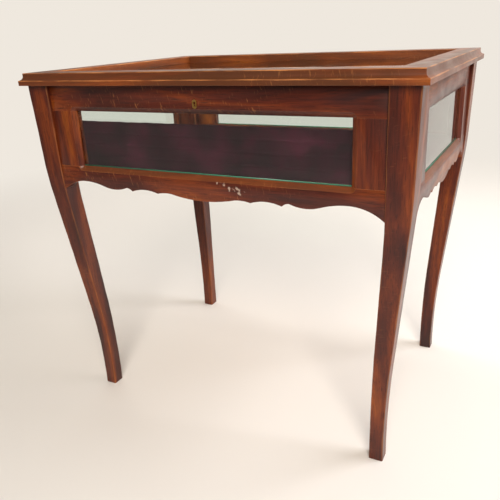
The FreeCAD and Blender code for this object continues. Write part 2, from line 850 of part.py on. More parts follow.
notched_board("base_board", board_low, base_top)
notched_board("velvet_lining", base_top, velvet_top)
bearer_low = board_low - sizes.bearer_size
bearer_x = inside_half_width - sizes.bearer_size
bearer_y = inside_half_depth - sizes.bearer_size
BEARERS = {
    "front": ((-notch_x, -inside_half_depth), (notch_x, -bearer_y)),
    "right": ((bearer_x, -notch_y), (inside_half_width, notch_y)),
    "back": ((-notch_x, bearer_y), (notch_x, inside_half_depth)),
    "left": ((-inside_half_width, -notch_y), (-bearer_x, notch_y)),
}
for side, (low, high) in BEARERS.items():
    node(f"base_bearer_{side}", block(f"base_bearer_{side}", (*low, bearer_low), (*high, board_low)))


def lid_member(side, half, reach, own_cuts):
    """One mitred member of the lid: a band, a cove and a fillet outside, a glass rebate below."""
    angle = SIDES[side][0]
    name = f"lid_member_{side}"
    wide = sizes.lid_member_width
    cove_top = sizes.lid_band_height + sizes.lid_cove_height
    section = outline(
        name + "_section",
        ON_YZ,
        (-half, 0, lid_bottom),
        [
            (0, sizes.lid_band_height),
            (sizes.lid_edge_setback, cove_top, sizes.lid_cove_bulge, -1),
            (sizes.lid_edge_setback, sizes.lid_thickness),
            (wide, sizes.lid_thickness),
            (wide, sizes.lid_rebate_height),
            (wide - sizes.lid_rebate_width, sizes.lid_rebate_height),
            (wide - sizes.lid_rebate_width, 0),
            (0, 0),
        ],
    )
    bar = extrude(name + "_bar", section, X_WAY, 2 * half)
    plan = [(half, 0), (half - wide, wide), (wide - half, wide), (-half, 0)]
    mitre_plan = outline(name + "_plan", ON_XY, (0, 0, lid_bottom), plan)
    mitres = extrude(name + "_mitres", mitre_plan, Z_WAY, sizes.lid_thickness)
    member = place(common(name + "_mitred", bar, mitres), side_spot(angle, reach), turned(angle))
    return cut(name + "_cut", member, own_cuts) if own_cuts else member


lid_half_width = sizes.lid_width / 2
lid_half_depth = sizes.lid_depth / 2
node("lid_member_right", lid_member("right", lid_half_depth, lid_half_width, []))
node("lid_member_back", lid_member("back", lid_half_width, lid_half_depth, lid_recesses + lid_screws))
node("lid_member_left", lid_member("left", lid_half_depth, lid_half_width, []))

# The front member is one stick of wood. It is kept as five solids that meet round the bolt's mortise,
# so that each is close to convex and the mortise stays open to the bolt in a simulation.
front_cuts = [bolt_mortise, strike_blank] + strike_screws
front_member = lid_member("front", lid_half_width, lid_half_depth, front_cuts)
front_edge = -lid_half_depth
inner_edge = sizes.lid_member_width - lid_half_depth
lid_top = lid_bottom + sizes.lid_thickness
ZONES = {
    "above": ((-lid_half_width, front_edge, slot_top), (lid_half_width, inner_edge, lid_top)),
    "left": ((-lid_half_width, front_edge, lid_bottom), (-slot_half, inner_edge, slot_top)),
    "right": ((slot_half, front_edge, lid_bottom), (lid_half_width, inner_edge, slot_top)),
    "before": ((-slot_half, front_edge, lid_bottom), (slot_half, slot_low[1], slot_top)),
    "behind": ((-slot_half, slot_high[1], lid_bottom), (slot_half, inner_edge, slot_top)),
}
front_solids = []
for zone, (low, high) in ZONES.items():
    zone_box = block(f"front_zone_{zone}", low, high)
    front_solids.append(common(f"front_member_{zone}", front_member, zone_box))
node("lid_member_front", group("lid_member_front", front_solids))

# Lid glass, in the members' rebates, and the beads that hold it up.
rebate_line = sizes.lid_member_width - sizes.lid_rebate_width
glass_x = lid_half_width - rebate_line
glass_y = lid_half_depth - rebate_line
glass_top = lid_bottom + sizes.lid_rebate_height
glass_low = glass_top - sizes.glass_thickness
node("lid_glass", block("lid_glass", (-glass_x, -glass_y, glass_low), (glass_x, glass_y, glass_top)))
strip_x = glass_x - sizes.lid_rebate_width
strip_y = glass_y - sizes.lid_rebate_width
STRIPS = {
    "front": ((-glass_x, -glass_y), (glass_x, -strip_y)),
    "right": ((strip_x, -strip_y), (glass_x, strip_y)),
    "back": ((-glass_x, strip_y), (glass_x, glass_y)),
    "left": ((-glass_x, -strip_y), (-strip_x, strip_y)),
}
lid_strips = []
for side, (low, high) in STRIPS.items():
    lid_strips.append(block(f"lid_bead_{side}", (*low, lid_bottom), (*high, glass_low)))
node("lid_glass_beads", group("lid_glass_beads", lid_strips))

doc.recompute()
for thing in doc.Objects:
    if {"Invalid", "Error"} & set(thing.State):
        raise RuntimeError(f"{thing.Name} failed to build: {thing.State}")
for piece in nodes:
    if piece.Shape.isNull() or not piece.Shape.isValid() or not piece.Shape.Solids:
        raise RuntimeError(f"{piece.Label} has no valid solid")

os.makedirs("parts", exist_ok=True)
for piece in nodes:
    piece.Shape.exportStep(f"parts/{piece.Label}.step")
print(f"{len(nodes)} pieces written")
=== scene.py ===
import json
import math

import bmesh
import bpy
import numpy as np
from mathutils import Matrix, Vector

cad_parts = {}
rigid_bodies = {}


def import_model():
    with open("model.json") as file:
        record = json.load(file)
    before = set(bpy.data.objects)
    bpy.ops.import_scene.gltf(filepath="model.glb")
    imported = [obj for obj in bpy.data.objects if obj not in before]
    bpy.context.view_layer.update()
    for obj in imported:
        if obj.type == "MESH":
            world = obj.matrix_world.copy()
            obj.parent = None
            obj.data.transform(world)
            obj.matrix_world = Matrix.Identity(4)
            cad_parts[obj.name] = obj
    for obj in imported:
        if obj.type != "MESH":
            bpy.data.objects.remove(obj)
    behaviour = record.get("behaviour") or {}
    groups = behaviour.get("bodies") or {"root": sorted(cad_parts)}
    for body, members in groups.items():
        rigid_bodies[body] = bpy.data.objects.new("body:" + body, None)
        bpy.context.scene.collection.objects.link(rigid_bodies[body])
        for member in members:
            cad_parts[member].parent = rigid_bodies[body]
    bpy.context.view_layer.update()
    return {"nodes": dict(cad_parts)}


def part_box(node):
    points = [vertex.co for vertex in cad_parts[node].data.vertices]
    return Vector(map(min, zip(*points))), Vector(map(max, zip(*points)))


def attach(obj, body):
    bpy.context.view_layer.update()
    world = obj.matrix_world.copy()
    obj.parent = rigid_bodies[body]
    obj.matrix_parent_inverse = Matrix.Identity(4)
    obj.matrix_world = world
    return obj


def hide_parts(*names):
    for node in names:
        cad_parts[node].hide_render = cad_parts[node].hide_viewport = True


# The looks of a glazed oak display table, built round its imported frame. Metres, +Z up, front to -Y.
for leftover in list(bpy.data.objects):
    bpy.data.objects.remove(leftover)
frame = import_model()

MM = 0.001
SIDES = ("front", "right", "back", "left")
QUARTER_TURNS = {side: turns for turns, side in enumerate(SIDES)}
STILES = {
    "front": ("left", "right"),
    "right": ("front", "back"),
    "back": ("right", "left"),
    "left": ("back", "front"),
}
GRAIN = {"front": "x", "back": "x", "right": "y", "left": "y"}
# The places of a piece's materials: its own, the worn one of its arrises, and a lighter one that is partly
# sun fading and partly painted light.
PLAIN, WORN, FADED_AND_LIT = 0, 1, 2
# The sockets of a Mix node set to colours: its share, the colours under and over, and the result.
SHARE, UNDER, OVER, MIXED = 0, 6, 7, 2


def paint(code):
    """An sRGB hex colour, as linear red, green, blue and a full alpha."""
    srgb = np.array([int(code[i : i + 2], 16) for i in (1, 3, 5)]) / 255
    linear = np.where(srgb <= 0.04045, srgb / 12.92, ((srgb + 0.055) / 1.055) ** 2.4)
    return (*linear.tolist(), 1.0)


def grey(share):
    """A share of white, to use as a weight along a ramp."""
    return (share, share, share, 1)


BLACK, WHITE = grey(0), grey(1)


def add(tree, kind, inputs=None, stops=None, **settings):
    """Adds a node with its settings, and gives its outputs.

    Each named input gets a value or a link. A ramp also gets its stops, as {position: colour}.
    """
    made = tree.nodes.new(kind)
    for name, value in settings.items():
        setattr(made, name, value)
    for name, value in (inputs or {}).items():
        if isinstance(value, bpy.types.NodeSocket):
            tree.links.new(value, made.inputs[name])
        else:
            made.inputs[name].default_value = value
    if stops:
        elements = made.color_ramp.elements
        elements.remove(elements[1])
        for index, (position, colour) in enumerate(stops.items()):
            element = elements[0] if index == 0 else elements.new(position)
            element.position = position
            element.color = colour
    return made.outputs


def blank(name):
    """A material with an empty tree, and that tree."""
    material = bpy.data.materials.new(name)
    material.use_nodes = True
    material.node_tree.nodes.clear()
    return material, material.node_tree


def seen_straight(tree):
    """1 for what is looked at directly or through glass, and 0 for what is mirrored or gives light."""
    path = add(tree, "ShaderNodeLightPath")
    bounces = add(tree, "ShaderNodeMath", {0: path["Glossy Depth"], 1: path["Diffuse Depth"]},
                  operation="ADD")[0]
    return add(tree, "ShaderNodeMath", {0: bounces, 1: 0.5}, operation="LESS_THAN")[0]


# Wood
ALONG = {
    "x": (0, 0, 0),
    "y": (0, 0, -math.pi / 2),
    "z": (0, math.pi / 2, 0),
}
# Rays show best on the flat sides of the long rails, and hardly on the legs.
RAYS = {"x": 0.55, "y": 0.55, "z": 0.12}
RAY_WIDTH, RAY_STRETCH, RAY_SLANT = 2.3 * MM, 6.25, math.radians(14)
# Hands rub the lid and the rails more than the legs.
WEAR = {"x": 0.85, "y": 0.85, "z": 0.25}
# How far the lighter oak is drawn to pale orange: painted light on the lid's lit top and the sills' moulding,
# with some sun fading on the lid.
FADING_AND_LIGHT = 0.16
CHIPS_AT = (62 * MM, -286 * MM, 545 * MM)
CHIPS_TILT = math.radians(18)
CHIPS_REACH = (44 * MM, 9 * MM, 8 * MM)
CHIP_WIDTH = 9 * MM


def streaks(tree, laid, across, stretch, detail, distortion=0.0):
    """Noise whose marks are as wide as across, in mm, and longer along the grain by the stretch."""
    drawn_out = add(tree, "ShaderNodeMapping", {"Vector": laid, "Scale": (1 / stretch, 1, 1)})[0]
    return add(tree, "ShaderNodeTexNoise", {
        "Vector": drawn_out,
        "Scale": 1 / (across * MM),
        "Detail": detail,
        "Distortion": distortion,
    })["Fac"]


def stained_oak(grain, state):
    """Quarter-sawn oak, stained dark red-brown and varnished to a satin.

    The eye gets long brown and orange streaks, dark pores along the grain and pale rays across it.
    Faded oak is the same wood made lighter. On the lid this is partly sun fading and partly painted light on
    its lit top. On the sills' moulded faces it is a painted highlight where they face the light.
    Worn oak is on an arris, where hands have rubbed the stain off in places.
    """
    material, tree = blank(f"{state}_oak_{grain}")
    spot = add(tree, "ShaderNodeTexCoord")["Object"]
    laid = add(tree, "ShaderNodeMapping", {"Vector": spot, "Rotation": ALONG[grain]})[0]
    figure = streaks(tree, laid, across=46, stretch=7, detail=5, distortion=0.7)
    tone = add(tree, "ShaderNodeValToRGB", {"Fac": figure}, {
        0.31: paint("#35140f"),
        0.46: paint("#541f0f"),
        0.59: paint("#763310"),
        0.72: paint("#984d10"),
    })[0]
    # Growth rings are 2 to 5 mm apart.
    rings = streaks(tree, laid, across=3.5, stretch=30, detail=3)
    rings = add(tree, "ShaderNodeValToRGB", {"Fac": rings}, {0.36: (0.66, 0.64, 0.62, 1), 0.62: WHITE})[0]
    tone = add(tree, "ShaderNodeMix", {SHARE: 0.8, UNDER: tone, OVER: rings},
               data_type="RGBA", blend_type="MULTIPLY")[MIXED]
    # Real pores are 0.3 mm wide. They are drawn about four times as wide, to show at this size.
    pores = streaks(tree, laid, across=1.2, stretch=20, detail=2)
    pores = add(tree, "ShaderNodeValToRGB", {"Fac": pores}, {0.54: BLACK, 0.70: grey(0.7)})[0]
    tone = add(tree, "ShaderNodeMix", {SHARE: pores, UNDER: tone, OVER: paint("#240e09")},
               data_type="RGBA")[MIXED]
    # Rays cross the grain as pale flecks, 2 mm wide and about 14 mm long, in drifts.
    slant = add(tree, "ShaderNodeMapping", {"Vector": laid, "Rotation": (0, RAY_SLANT, RAY_SLANT)})[0]
    crossing = add(tree, "ShaderNodeMapping", {
        "Vector": slant,
        "Scale": (1, 1 / RAY_STRETCH, 1 / RAY_STRETCH),
    })[0]
    flecks = add(tree, "ShaderNodeTexNoise", {
        "Vector": crossing,
        "Scale": 1 / RAY_WIDTH,
        "Detail": 1.5,
    })["Fac"]
    flecks = add(tree, "ShaderNodeValToRGB", {"Fac": flecks}, {0.62: BLACK, 0.76: grey(RAYS[grain])})[0]
    drifts = streaks(tree, laid, across=60, stretch=3, detail=2)
    drifts = add(tree, "ShaderNodeValToRGB", {"Fac": drifts}, {0.44: BLACK, 0.64: WHITE})[0]
    flecks = add(tree, "ShaderNodeMath", {0: flecks, 1: drifts}, operation="MULTIPLY")[0]
    tone = add(tree, "ShaderNodeMix", {SHARE: flecks, UNDER: tone, OVER: paint("#a3683a")},
               data_type="RGBA")[MIXED]
    if state == "stained" and grain == "x":
        # One patch of chipped varnish, on the front's lower rail. The chips are 3 to 9 mm wide.
        patch = add(tree, "ShaderNodeMapping", {
            "Vector": spot,
            "Location": CHIPS_AT,
            "Rotation": (0, CHIPS_TILT, 0),
            "Scale": CHIPS_REACH,
        }, vector_type="TEXTURE")[0]
        near = add(tree, "ShaderNodeTexGradient", {"Vector": patch}, gradient_type="SPHERICAL")["Fac"]
        near = add(tree, "ShaderNodeValToRGB", {"Fac": near}, {0.02: BLACK, 0.3: WHITE})[0]
        flakes = add(tree, "ShaderNodeTexNoise", {
            "Vector": spot,
            "Scale": 1 / CHIP_WIDTH,
            "Detail": 3,
        })["Fac"]
        flakes = add(tree, "ShaderNodeValToRGB", {"Fac": flakes}, {0.55: BLACK, 0.62: grey(0.55)})[0]
        chips = add(tree, "ShaderNodeMath", {0: near, 1: flakes}, operation="MULTIPLY")[0]
        tone = add(tree, "ShaderNodeMix", {SHARE: chips, UNDER: tone, OVER: paint("#cfb9a6")},
                   data_type="RGBA")[MIXED]
    # The lighter oak: painted light on the lid's lit top and the sills' moulding, with some real sun fading
    # on the lid.
    if state == "faded_and_lit":
        tone = add(tree, "ShaderNodeMix", {SHARE: FADING_AND_LIGHT, UNDER: tone, OVER: paint("#a5642f")},
                   data_type="RGBA")[MIXED]
    if state == "worn":
        most = WEAR[grain]
        rubbed = streaks(tree, laid, across=18, stretch=4, detail=4)
        rubbed = add(tree, "ShaderNodeValToRGB", {"Fac": rubbed}, {0.40: grey(most / 5), 0.64: grey(most)})[0]
        tone = add(tree, "ShaderNodeMix", {SHARE: rubbed, UNDER: tone, OVER: paint("#c07c46")},
                   data_type="RGBA")[MIXED]
    gloss = add(tree, "ShaderNodeMapRange", {
        "Value": streaks(tree, laid, across=30, stretch=2, detail=4),
        "From Min": 0.3,
        "From Max": 0.7,
        "To Min": 0.34,
        "To Max": 0.5,
    })[0]
    relief = add(tree, "ShaderNodeBump", {"Height": pores, "Strength": 0.12, "Distance": 0.3 * MM},
                 invert=True)[0]
    wood = add(tree, "ShaderNodeBsdfPrincipled", {
        "Base Color": tone,
        "Roughness": gloss,
        "Normal": relief,
        "Specular IOR Level": 0.25,
        "Coat Weight": 0.3,
        "Coat Roughness": 0.14,
    })[0]
    add(tree, "ShaderNodeOutputMaterial", {"Surface": wood})
    return material


def bare_pine(grain):
    """Planed pine, never stained: pale straw with wide soft rings, a little grey from age.

    The rings are about 9 mm apart.
    """
    material, tree = blank(f"bare_pine_{grain}")
    spot = add(tree, "ShaderNodeTexCoord")["Object"]
    laid = add(tree, "ShaderNodeMapping", {"Vector": spot, "Rotation": ALONG[grain]})[0]
    rings = streaks(tree, laid, across=9, stretch=20, detail=4, distortion=0.4)
    tone = add(tree, "ShaderNodeValToRGB", {"Fac": rings}, {
        0.35: paint("#8d6540"),
        0.5: paint("#b58c5c"),
        0.68: paint("#c9a474"),
    })[0]
    relief = add(tree, "ShaderNodeBump", {"Height": rings, "Strength": 0.2, "Distance": 0.4 * MM})[0]
    wood = add(tree, "ShaderNodeBsdfPrincipled", {"Base Color": tone, "Roughness": 0.68, "Normal": relief})[0]
    add(tree, "ShaderNodeOutputMaterial", {"Surface": wood})
    return material


# Glass, velvet and metal
GLASS_IOR = 1.52
GLASS_WAVE = 70 * MM
CRUSHED_WIDTH = 55 * MM
TUFT_WIDTH = 1.4 * MM
TARNISH_WIDTH = 6 * MM
RUST_WIDTH = 4 * MM


def drawn_glass():
    """Old drawn sheet glass: clear and glossy face on, green where it is looked into edgeways.

    Slow waves from the drawing, about 70 mm long, bend its reflections. Lamps shine through it.
    """
    material, tree = blank("drawn_glass")
    spot = add(tree, "ShaderNodeTexCoord")["Object"]
    waves = add(tree, "ShaderNodeTexNoise", {"Vector": spot, "Scale": 1 / GLASS_WAVE, "Detail": 1})["Fac"]
    relief = add(tree, "ShaderNodeBump", {"Height": waves, "Strength": 0.05, "Distance": 1 * MM})[0]
    pane = add(tree, "ShaderNodeBsdfPrincipled", {
        "Base Color": paint("#f3f8f5"),
        "Roughness": 0.0,
        "IOR": GLASS_IOR,
        "Specular IOR Level": 0.35,
        "Transmission Weight": 1.0,
        "Normal": relief,
    })[0]
    clear = add(tree, "ShaderNodeBsdfTransparent", {"Color": paint("#eef5f1")})[0]
    lamps = add(tree, "ShaderNodeLightPath")["Is Shadow Ray"]
    seen = add(tree, "ShaderNodeMixShader", {0: lamps, 1: pane, 2: clear})[0]
    tint = add(tree, "ShaderNodeVolumeAbsorption", {"Color": paint("#6fb795"), "Density": 9.0})[0]
    add(tree, "ShaderNodeOutputMaterial", {"Surface": seen, "Volume": tint})
    return material


def ground_glass_edge():
    """The ground edge of sheet glass: a wet-looking bottle green, since light comes along the pane."""
    material, tree = blank("ground_glass_edge")
    edge = add(tree, "ShaderNodeBsdfPrincipled", {
        "Base Color": paint("#3f7a62"),
        "Roughness": 0.25,
        "IOR": GLASS_IOR,
    })[0]
    add(tree, "ShaderNodeOutputMaterial", {"Surface": edge})
    return material


def cotton_velvet():
    """Cut cotton velvet, dyed aubergine: near black face on, with a dusty plum bloom at a slant.

    Its pile is crushed one way or the other in patches of about 55 mm.
    """
    material, tree = blank("cotton_velvet")
    spot = add(tree, "ShaderNodeTexCoord")["Object"]
    crushed = add(tree, "ShaderNodeTexNoise", {
        "Vector": spot,
        "Scale": 1 / CRUSHED_WIDTH,
        "Detail": 3,
        "Distortion": 0.8,
    })["Fac"]
    tone = add(tree, "ShaderNodeValToRGB", {"Fac": crushed}, {
        0.34: paint("#1b060d"),
        0.52: paint("#2d0b17"),
        0.70: paint("#3e1322"),
    })[0]
    # Tufts of pile are 0.4 mm across. They are drawn at 1.4 mm, to show at this size.
    pile = add(tree, "ShaderNodeTexNoise", {"Vector": spot, "Scale": 1 / TUFT_WIDTH, "Detail": 2})["Fac"]
    tufts = add(tree, "ShaderNodeValToRGB", {"Fac": pile}, {0.35: grey(0.82), 0.6: WHITE})[0]
    tone = add(tree, "ShaderNodeMix", {SHARE: 1.0, UNDER: tone, OVER: tufts},
               data_type="RGBA", blend_type="MULTIPLY")[MIXED]
    relief = add(tree, "ShaderNodeBump", {"Height": pile, "Strength": 0.12, "Distance": 0.8 * MM})[0]
    cloth = add(tree, "ShaderNodeBsdfPrincipled", {
        "Base Color": tone,
        "Roughness": 0.95,
        "Specular IOR Level": 0.15,
        "Normal": relief,
        "Sheen Weight": 0.12,
        "Sheen Roughness": 0.4,
        "Sheen Tint": paint("#8a5568"),
    })[0]
    add(tree, "ShaderNodeOutputMaterial", {"Surface": cloth})
    return material


def aged_brass():
    """Cast and filed brass, dulled by age: a warm dark gold with brown tarnish in its low places."""
    material, tree = blank("aged_brass")
    spot = add(tree, "ShaderNodeTexCoord")["Object"]
    tarnish = add(tree, "ShaderNodeTexNoise", {
        "Vector": spot,
        "Scale": 1 / TARNISH_WIDTH,
        "Detail": 5,
    })["Fac"]
    tone = add(tree, "ShaderNodeValToRGB", {"Fac": tarnish}, {
        0.34: paint("#7a5c30"),
        0.52: paint("#b58d4c"),
        0.70: paint("#d0aa66"),
    })[0]
    dullness = add(tree, "ShaderNodeMapRange", {
        "Value": tarnish,
        "From Min": 0.3,
        "From Max": 0.7,
        "To Min": 0.55,
        "To Max": 0.3,
    })[0]
    relief = add(tree, "ShaderNodeBump", {"Height": tarnish, "Strength": 0.15, "Distance": 0.1 * MM})[0]
    metal = add(tree, "ShaderNodeBsdfPrincipled", {
        "Base Color": tone,
        "Metallic": 1.0,
        "Roughness": dullness,
        "Normal": relief,
    })[0]
    add(tree, "ShaderNodeOutputMaterial", {"Surface": metal})
    return material


def lock_steel():
    """Pressed mild steel, browned: dark grey with rusty specks, and a dull shine where it slides."""
    material, tree = blank("lock_steel")
    spot = add(tree, "ShaderNodeTexCoord")["Object"]
    rust = add(tree, "ShaderNodeTexNoise", {"Vector": spot, "Scale": 1 / RUST_WIDTH, "Detail": 6})["Fac"]
    tone = add(tree, "ShaderNodeValToRGB", {"Fac": rust}, {
        0.40: paint("#6d6b68"),
        0.58: paint("#57514b"),
        0.70: paint("#5b3f2c"),
    })[0]
    dullness = add(tree, "ShaderNodeMapRange", {
        "Value": rust,
        "From Min": 0.35,
        "From Max": 0.7,
        "To Min": 0.38,
        "To Max": 0.7,
    })[0]
    metal = add(tree, "ShaderNodeBsdfPrincipled", {
        "Base Color": tone,
        "Metallic": 0.9,
        "Roughness": dullness,
    })[0]
    add(tree, "ShaderNodeOutputMaterial", {"Surface": metal})
    return material


OAK = {grain: stained_oak(grain, "stained") for grain in "xyz"}
# The lighter oak for the lid and the sills' moulding: painted light in part, sun fading in part.
FADED_AND_LIT_OAK = {grain: stained_oak(grain, "faded_and_lit") for grain in "xy"}
WORN_OAK = {grain: stained_oak(grain, "worn") for grain in "xyz"}
PINE = {grain: bare_pine(grain) for grain in "xy"}
GLASS = drawn_glass()
GLASS_EDGE = ground_glass_edge()
VELVET = cotton_velvet()
BRASS = aged_brass()
STEEL = lock_steel()


def finish_node(name, material):
    """Gives a CAD node its material."""
    for slot in frame["nodes"][name].material_slots:
        slot.material = material


def piece_from_grid(name, points, faces, materials, face_slots=None):
    """A smooth object at the origin, from an array of points, a list of faces and any material places."""
    mesh = bpy.data.meshes.new(name)
    mesh.from_pydata(points.reshape(-1, 3).tolist(), [], faces)
    for material in materials:
        mesh.materials.append(material)
    if face_slots is not None:
        mesh.polygons.foreach_set("material_index", np.asarray(face_slots, dtype=np.int32))
    mesh.polygons.foreach_set("use_smooth", np.ones(len(mesh.polygons), dtype=bool))
    mesh.update()
    piece = bpy.data.objects.new(name, mesh)
    bpy.context.scene.collection.objects.link(piece)
    return piece


def grid_quads(rows, columns):
    """Quads between the neighbours of a grid of points, which are numbered row by row."""
    number = np.arange(rows * columns).reshape(rows, columns)
    return np.stack([number[:-1, :-1], number[1:, :-1], number[1:, 1:], number[:-1, 1:]], axis=-1)


def tube_faces(rings, around, flipped=False):
    """Quads between successive closed rings of points, then a polygon over each end."""
    ring, step = np.meshgrid(np.arange(rings - 1), np.arange(around), indexing="ij")
    after = (step + 1) % around
    low = ring * around
    high = low + around
    quads = np.stack([low + step, low + after, high + after, high + step], axis=-1).reshape(-1, 4)
    first = np.arange(around)[::-1]
    last = np.arange(around) + (rings - 1) * around
    if flipped:
        quads, first, last = quads[:, ::-1], first[::-1], last[::-1]
    return quads.tolist() + [first.tolist(), last.tolist()]


def turned(x, y, side):
    """Points of the front, turned to another side by quarter turns."""
    for _ in range(QUARTER_TURNS[side]):
        x, y = -y, x
    return x, y


# Legs
LEG_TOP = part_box("leg_front_left")[1][2]
CASE_CORNER = -np.array(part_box("leg_front_left")[0][:2])
POST = 50 * MM
KNEE_LEVEL, KNEE_START = 510 * MM, 560 * MM
SHIN_TOP, SHIN_END = 490 * MM, 220 * MM
NECK_LEVEL, CALF_LEVEL = 465 * MM, 247 * MM
# The template's two lines: how far in each is at its marks, and how far it bows below some of them.
OUTER_INSETS = {LEG_TOP: 0.0, KNEE_START: 4.5 * MM, SHIN_TOP: 9.5 * MM, SHIN_END: 36 * MM, 0.0: 44.5 * MM}
INNER_INSETS = {LEG_TOP: POST, KNEE_LEVEL: POST, NECK_LEVEL: 52 * MM, CALF_LEVEL: 66 * MM, 0.0: 72 * MM}
OUTER_BOWS = {KNEE_START: -0.62 * MM, SHIN_END: 3.3 * MM}
INNER_BOWS = {KNEE_LEVEL: -0.22 * MM, CALF_LEVEL: 2.5 * MM}
ARRIS_RADIUS = 2.0 * MM
# The least share of that radius, and what the wear adds to it at most.
ARRIS_LEAST, ARRIS_MORE = 0.55, 0.9
ARRIS_STEPS = 4
ARRIS_BORDER = 2.5 * MM
RING_COUNT = 150
LEG_CREASE = math.radians(40)
LEG_SEEDS = {"front_left": 0, "front_right": 10, "back_left": 20, "back_right": 30}
RUB_LENGTHS = (310 * MM, 130 * MM, 47 * MM)


def template(level, insets, bows):
    """A leg template's line: straight between its marks, with a bow, 4 b t (1 - t), on some stretches."""
    marks = sorted(insets)
    line = np.interp(level, marks, [insets[mark] for mark in marks])
    for low, high in zip(marks, marks[1:]):
        share = np.clip((level - low) / (high - low), 0, 1)
        line = line + 4 * bows.get(high, 0.0) * share * (1 - share)
    return line


def rub(run, seed):
    """Slow uneven wear along an arris, from 0 to 1: three sine waves with drawn phases."""
    count = len(RUB_LENGTHS)
    phases = np.random.default_rng(seed).uniform(0, math.tau, count)
    waves = sum(np.sin(run * math.tau / length + phase) for length, phase in zip(RUB_LENGTHS, phases))
    return (waves + count) / (2 * count)


def leg(row, column):
    """A leg: a square section with rounded arrises, carried up the template's two lines.

    At each level the section runs from the outer line to the inner one on both axes. Round each
    corner its points lie on a quarter circle, whose radius varies slowly with the wear. One more
    point before and after it keeps the flat sides flat.
    """
    corner = f"{row}_{column}"
    level = np.linspace(0, LEG_TOP, RING_COUNT)[:, None]
    outer = template(level, OUTER_INSETS, OUTER_BOWS)
    inner = template(level, INNER_INSETS, INNER_BOWS)
    across, along, arris = [], [], []
    for quarter, (u, v) in enumerate(((1, 1), (0, 1), (0, 0), (1, 0))):
        wear = rub(level, LEG_SEEDS[corner] + quarter)
        radius = ARRIS_RADIUS * (ARRIS_LEAST + ARRIS_MORE * wear)
        start, end = quarter * math.pi / 2, (quarter + 1) * math.pi / 2
        turn = np.linspace(start, end, ARRIS_STEPS + 1)
        arc_u = np.where(u, inner - radius, outer + radius) + radius * np.cos(turn)
        arc_v = np.where(v, inner - radius, outer + radius) + radius * np.sin(turn)
        before_u = arc_u[:, :1] + ARRIS_BORDER * math.sin(start)
        before_v = arc_v[:, :1] - ARRIS_BORDER * math.cos(start)
        after_u = arc_u[:, -1:] - ARRIS_BORDER * math.sin(end)
        after_v = arc_v[:, -1:] + ARRIS_BORDER * math.cos(end)
        across.append(np.hstack([before_u, arc_u, after_u]))
        along.append(np.hstack([before_v, arc_v, after_v]))
        arris += [PLAIN] + [WORN] * ARRIS_STEPS + [PLAIN, PLAIN]
    across, along = np.hstack(across), np.hstack(along)
    sign_x = 1 if column == "right" else -1
    sign_y = 1 if row == "back" else -1
    points = np.stack([
        sign_x * (CASE_CORNER[0] - across),
        sign_y * (CASE_CORNER[1] - along),
        np.broadcast_to(level, across.shape),
    ], axis=-1)
    faces = tube_faces(RING_COUNT, across.shape[1], flipped=sign_x != sign_y)
    slots = np.concatenate([np.tile(arris, RING_COUNT - 1), [PLAIN, PLAIN]])
    piece = piece_from_grid(f"leg_{corner}_oak", points, faces, [OAK["z"], WORN_OAK["z"]], slots)
    piece.data.set_sharp_from_angle(angle=LEG_CREASE)
    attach(piece, "case")
    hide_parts(f"leg_{corner}")


for row in ("front", "back"):
    for column in ("left", "right"):
        leg(row, column)

# Velvet. Its pile has pressed lines, closer on the facing than on the floor, and a slow swell.
VELVET_LOW, VELVET_HIGH = (np.array(corner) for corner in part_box("velvet_lining"))
LEG_NOTCH = np.array([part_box("base_bearer_front")[1][0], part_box("base_bearer_right")[1][1]])
VELVET_STEP = 6 * MM
CLOTH_THICKNESS = 1.2 * MM
PRESS_DEPTH = 0.4 * MM
PRESS_POWER = 30
FLOOR_LINE = 75.4 * MM
PILE_SWELL = 0.35 * MM
SWELL_WIDE, SWELL_DEEP, SWELL_PHASE = 230 * MM, 170 * MM, 1
FACING_TOP = 654 * MM
FACING_STEP = 1.5 * MM
FACING_LINE = 23.5 * MM
FACING_ROOM = 2 * MM
FACING_SWELL = 0.2 * MM
FRAY = 1.2 * MM
FRAY_PACE = 4
FRAY_SEED = 90


def pile_line(run, spacing):
    """Shallow pressed lines across a run of cloth, from 0 to 1: a power of a cosine."""
    return np.abs(np.cos(math.pi * run / spacing)) ** PRESS_POWER


def pile_swell(across, along):
    """A slow swell of the cloth, from -1 to 1: two crossed sine waves."""
    return np.sin(across * math.tau / SWELL_WIDE + SWELL_PHASE) * np.sin(along * math.tau / SWELL_DEEP)


def velvet_sheet(name, points, dropped):
    """A sheet of velvet from a grid of points, without the cells that are dropped, given its thickness."""
    used, kept = np.unique(grid_quads(*points.shape[:2])[~dropped], return_inverse=True)
    piece = piece_from_grid(name, points.reshape(-1, 3)[used], kept.reshape(-1, 4).tolist(), [VELVET])
    thick = piece.modifiers.new("cloth_thickness", "SOLIDIFY")
    thick.thickness = CLOTH_THICKNESS
    thick.offset = -1
    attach(piece, "case")
    return piece


def velvet_floor():
    """The lining: a sheet over the base board, with a square cut out round each leg.

    Its height is the CAD lining's top, less the pressed lines and the swell.
    """
    axes = []
    for low, high, notch in zip(VELVET_LOW, VELVET_HIGH, LEG_NOTCH):
        axes.append(np.concatenate([[low], np.arange(-notch, notch, VELVET_STEP), [notch, high]]))
    x, y = np.meshgrid(*axes, indexing="ij")
    z = VELVET_HIGH[2] + PILE_SWELL * (pile_swell(x, y) - 1)
    z = z - PRESS_DEPTH * pile_line(y - VELVET_LOW[1], FLOOR_LINE)
    end_x, end_y = (np.isin(np.arange(count - 1), (0, count - 2)) for count in x.shape)
    piece = velvet_sheet("velvet_cloth", np.stack([x, y, z], axis=-1), end_x[:, None] & end_y[None, :])
    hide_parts("velvet_lining")


